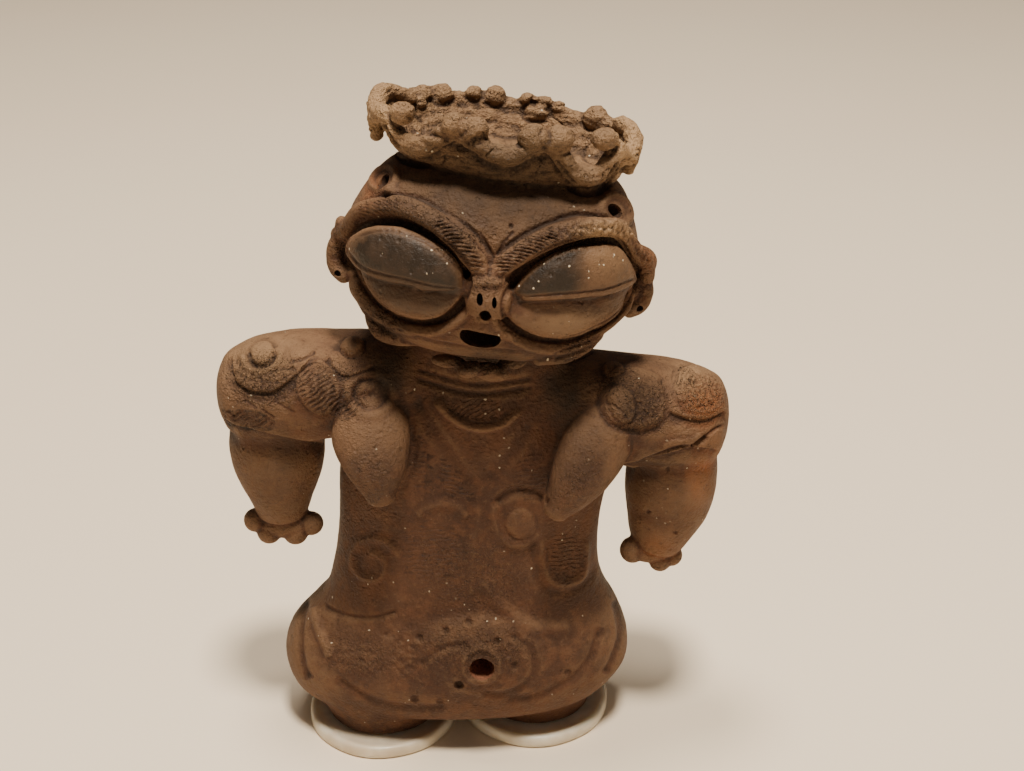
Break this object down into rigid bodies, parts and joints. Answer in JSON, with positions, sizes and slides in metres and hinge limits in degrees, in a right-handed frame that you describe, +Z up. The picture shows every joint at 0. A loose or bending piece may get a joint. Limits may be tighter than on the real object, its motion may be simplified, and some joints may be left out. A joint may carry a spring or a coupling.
{
  "type": "goggle-eyed dogu",
  "caption": "Standing fired-clay figurine with great slit eyes, a scalloped crown and short arms, its legs broken off, on low round support rings.",
  "frame": {"origin": "on the floor under the middle of the object's box, level with the rings' undersides", "axes": "+Z up, -Y the way the figure faces, +X to the right of someone who looks at its face"},
  "size_m": [0.1822, 0.0769, 0.2503],
  "materials": {
    "fired_clay": "matt unglazed fired clay, brown with darker and orange clouds",
    "support_ring": "smooth, cream and slightly translucent"
  },
  "bodies": {
    "root": {"dogu": "fired_clay", "support_ring_right": "support_ring", "support_ring_left": "support_ring"}
  },
  "joints": []
}
